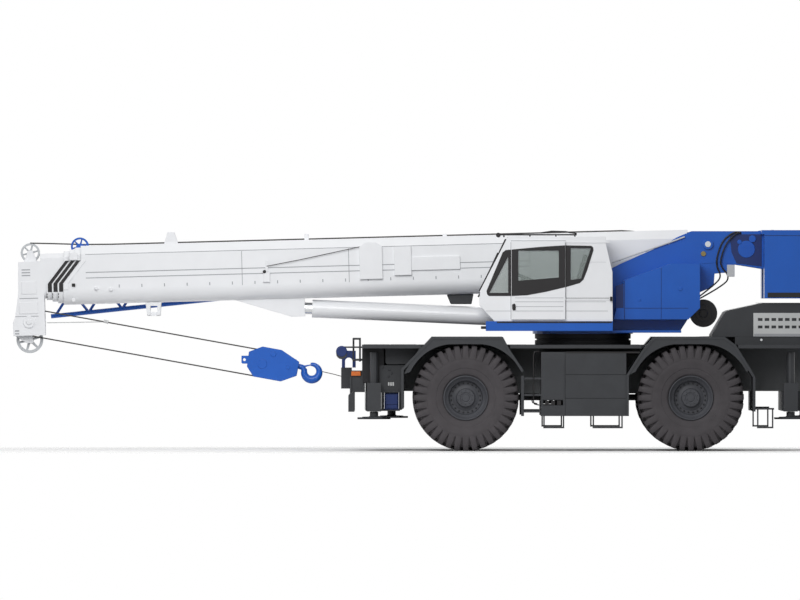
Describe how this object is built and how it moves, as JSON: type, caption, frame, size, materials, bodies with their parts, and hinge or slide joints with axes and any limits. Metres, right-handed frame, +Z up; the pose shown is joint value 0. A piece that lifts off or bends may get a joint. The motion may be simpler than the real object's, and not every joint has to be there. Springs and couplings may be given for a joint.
{
  "type": "mobile crane",
  "caption": "Two-axle rough-terrain mobile crane with a telescopic boom stowed over the front, slewing cab, lift cylinder, hook block and outriggers.",
  "frame": {"origin": "on the ground, below the middle of the whole machine's bounding box", "axes": "+Z up, the boom and the front of the carrier point to -X, the cab is on the -Y side"},
  "size_m": [14.3358, 3.18, 3.8786],
  "materials": {
    "white_paint": "gloss white paint",
    "blue_paint": "gloss mid blue paint",
    "chassis_grey": "satin dark grey paint",
    "panel_grey": "satin light grey paint",
    "engine_iron": "painted casting",
    "rim_grey": "satin dark grey paint",
    "tyre": "matte rubber",
    "black_plastic": "matte black",
    "glass": "tinted glass",
    "seat_fabric": "woven seat cloth",
    "chrome": "hard chrome",
    "sheave_grey": "grey paint",
    "rope_steel": "greased wire rope"
  },
  "bodies": {
    "carrier": {"carrier_frame": "chassis_grey", "deck": "chassis_grey", "fenders": "chassis_grey", "side_boxes": "chassis_grey", "ladders": "chassis_grey", "engine_hood": "chassis_grey", "hood_panels": "panel_grey", "engine_block": "engine_iron", "outrigger_boxes": "chassis_grey", "front_fittings": "chassis_grey", "hook_holder": "blue_paint", "axles": "engine_iron", "slew_ring": "engine_iron"},
    "superstructure": {"slew_bed": "blue_paint", "boom_foot_plates": "blue_paint", "side_covers": "blue_paint", "winches": "engine_iron", "counterweight": "blue_paint", "hose_reel": "black_plastic", "cab_side_left": "white_paint", "cab_side_right": "white_paint", "cab_floor": "black_plastic", "cab_roof": "white_paint", "cab_ends": "white_paint", "cab_glass": "glass", "cab_interior": "seat_fabric"},
    "cab_door": {"cab_door": "white_paint", "cab_door_glass": "glass"},
    "lift_barrel": {"lift_barrel": "white_paint"},
    "lift_rod": {"lift_rod": "chrome"},
    "boom_base": {"boom_base": "white_paint", "boom_fittings": "blue_paint", "jib": "blue_paint"},
    "boom_section_2": {"boom_section_2": "white_paint"},
    "boom_section_3": {"boom_section_3": "white_paint"},
    "boom_section_4": {"boom_section_4": "white_paint"},
    "boom_tip": {"boom_tip": "white_paint", "head_sheaves": "sheave_grey", "hook_block": "blue_paint", "hoist_ropes": "rope_steel"},
    "knuckle_front_left": {"knuckle_front_left": "engine_iron"},
    "wheel_front_left": {"rim_front_left": "rim_grey", "tyre_front_left": "tyre"},
    "outrigger_front_left": {"outrigger_beam_front_left": "blue_paint"},
    "jack_front_left": {"jack_front_left": "chrome"},
    "knuckle_front_right": {"knuckle_front_right": "engine_iron"},
    "wheel_front_right": {"rim_front_right": "rim_grey", "tyre_front_right": "tyre"},
    "outrigger_front_right": {"outrigger_beam_front_right": "blue_paint"},
    "jack_front_right": {"jack_front_right": "chrome"},
    "knuckle_rear_left": {"knuckle_rear_left": "engine_iron"},
    "wheel_rear_left": {"rim_rear_left": "rim_grey", "tyre_rear_left": "tyre"},
    "outrigger_rear_left": {"outrigger_beam_rear_left": "blue_paint"},
    "jack_rear_left": {"jack_rear_left": "chrome"},
    "knuckle_rear_right": {"knuckle_rear_right": "engine_iron"},
    "wheel_rear_right": {"rim_rear_right": "rim_grey", "tyre_rear_right": "tyre"},
    "outrigger_rear_right": {"outrigger_beam_rear_right": "blue_paint"},
    "jack_rear_right": {"jack_rear_right": "chrome"}
  },
  "joints": [
    {"name": "slew", "type": "hinge", "parent": "carrier", "child": "superstructure", "pos_m": [2.86289, 0, 2.047], "axis": [0, 0, 1], "range_deg": [-150, 150]},
    {"name": "boom_lift", "type": "hinge", "parent": "superstructure", "child": "boom_base", "pos_m": [5.05589, 0, 3.622], "axis": [0, 1, 0], "range_deg": [0, 83.5]},
    {"name": "lift_barrel_swing", "type": "hinge", "parent": "superstructure", "child": "lift_barrel", "pos_m": [3.26289, 0, 2.265], "axis": [0, 1, 0], "range_deg": [0, 87.07]},
    {"name": "lift_rod_slide", "type": "slide", "parent": "lift_barrel", "child": "lift_rod", "axis": [-0.999, 0, 0.0438], "range_m": [0, 2.9828]},
    {"name": "telescope", "type": "slide", "parent": "boom_base", "child": "boom_tip", "axis": [-0.9996, 0, -0.0265], "range_m": [0, 32]},
    {"name": "telescope_2", "type": "slide", "parent": "boom_base", "child": "boom_section_2", "axis": [-0.9996, 0, -0.0265], "range_m": [0, 8]},
    {"name": "telescope_3", "type": "slide", "parent": "boom_base", "child": "boom_section_3", "axis": [-0.9996, 0, -0.0265], "range_m": [0, 16]},
    {"name": "telescope_4", "type": "slide", "parent": "boom_base", "child": "boom_section_4", "axis": [-0.9996, 0, -0.0265], "range_m": [0, 24]},
    {"name": "cab_door_slide", "type": "slide", "parent": "superstructure", "child": "cab_door", "axis": [1, 0, 0], "range_m": [0, 0.77]},
    {"name": "steer_front_left", "type": "hinge", "parent": "carrier", "child": "knuckle_front_left", "pos_m": [0.79289, -1.05, 0.93], "axis": [0, 0, 1], "range_deg": [-25, 25]},
    {"name": "wheel_spin_front_left", "type": "hinge", "parent": "knuckle_front_left", "child": "wheel_front_left", "pos_m": [0.79289, -1.2, 0.93], "axis": [0, 1, 0], "continuous": true},
    {"name": "outrigger_slide_front_left", "type": "slide", "parent": "carrier", "child": "outrigger_front_left", "axis": [0, -1, 0], "range_m": [0, 1.75]},
    {"name": "jack_slide_front_left", "type": "slide", "parent": "outrigger_front_left", "child": "jack_front_left", "axis": [0, 0, -1], "range_m": [0, 0.6]},
    {"name": "steer_front_right", "type": "hinge", "parent": "carrier", "child": "knuckle_front_right", "pos_m": [0.79289, 1.05, 0.93], "axis": [0, 0, 1], "range_deg": [-25, 25]},
    {"name": "wheel_spin_front_right", "type": "hinge", "parent": "knuckle_front_right", "child": "wheel_front_right", "pos_m": [0.79289, 1.2, 0.93], "axis": [0, 1, 0], "continuous": true},
    {"name": "outrigger_slide_front_right", "type": "slide", "parent": "carrier", "child": "outrigger_front_right", "axis": [0, 1, 0], "range_m": [0, 1.75]},
    {"name": "jack_slide_front_right", "type": "slide", "parent": "outrigger_front_right", "child": "jack_front_right", "axis": [0, 0, -1], "range_m": [0, 0.6]},
    {"name": "steer_rear_left", "type": "hinge", "parent": "carrier", "child": "knuckle_rear_left", "pos_m": [4.73289, -1.05, 0.93], "axis": [0, 0, 1], "range_deg": [-25, 25]},
    {"name": "wheel_spin_rear_left", "type": "hinge", "parent": "knuckle_rear_left", "child": "wheel_rear_left", "pos_m": [4.73289, -1.2, 0.93], "axis": [0, 1, 0], "continuous": true},
    {"name": "outrigger_slide_rear_left", "type": "slide", "parent": "carrier", "child": "outrigger_rear_left", "axis": [0, -1, 0], "range_m": [0, 1.75]},
    {"name": "jack_slide_rear_left", "type": "slide", "parent": "outrigger_rear_left", "child": "jack_rear_left", "axis": [0, 0, -1], "range_m": [0, 0.6]},
    {"name": "steer_rear_right", "type": "hinge", "parent": "carrier", "child": "knuckle_rear_right", "pos_m": [4.73289, 1.05, 0.93], "axis": [0, 0, 1], "range_deg": [-25, 25]},
    {"name": "wheel_spin_rear_right", "type": "hinge", "parent": "knuckle_rear_right", "child": "wheel_rear_right", "pos_m": [4.73289, 1.2, 0.93], "axis": [0, 1, 0], "continuous": true},
    {"name": "outrigger_slide_rear_right", "type": "slide", "parent": "carrier", "child": "outrigger_rear_right", "axis": [0, 1, 0], "range_m": [0, 1.75]},
    {"name": "jack_slide_rear_right", "type": "slide", "parent": "outrigger_rear_right", "child": "jack_rear_right", "axis": [0, 0, -1], "range_m": [0, 0.6]}
  ],
  "couplings": [
    {"joint": "lift_barrel_swing", "follows": "boom_lift", "ratio": 1.0367},
    {"joint": "lift_rod_slide", "follows": "boom_lift", "m_per_rad": 2.0399},
    {"joint": "telescope_2", "follows": "telescope", "ratio": 0.25},
    {"joint": "telescope_3", "follows": "telescope", "ratio": 0.5},
    {"joint": "telescope_4", "follows": "telescope", "ratio": 0.75},
    {"joint": "steer_front_right", "follows": "steer_front_left", "ratio": 1},
    {"joint": "steer_rear_right", "follows": "steer_rear_left", "ratio": 1}
  ]
}
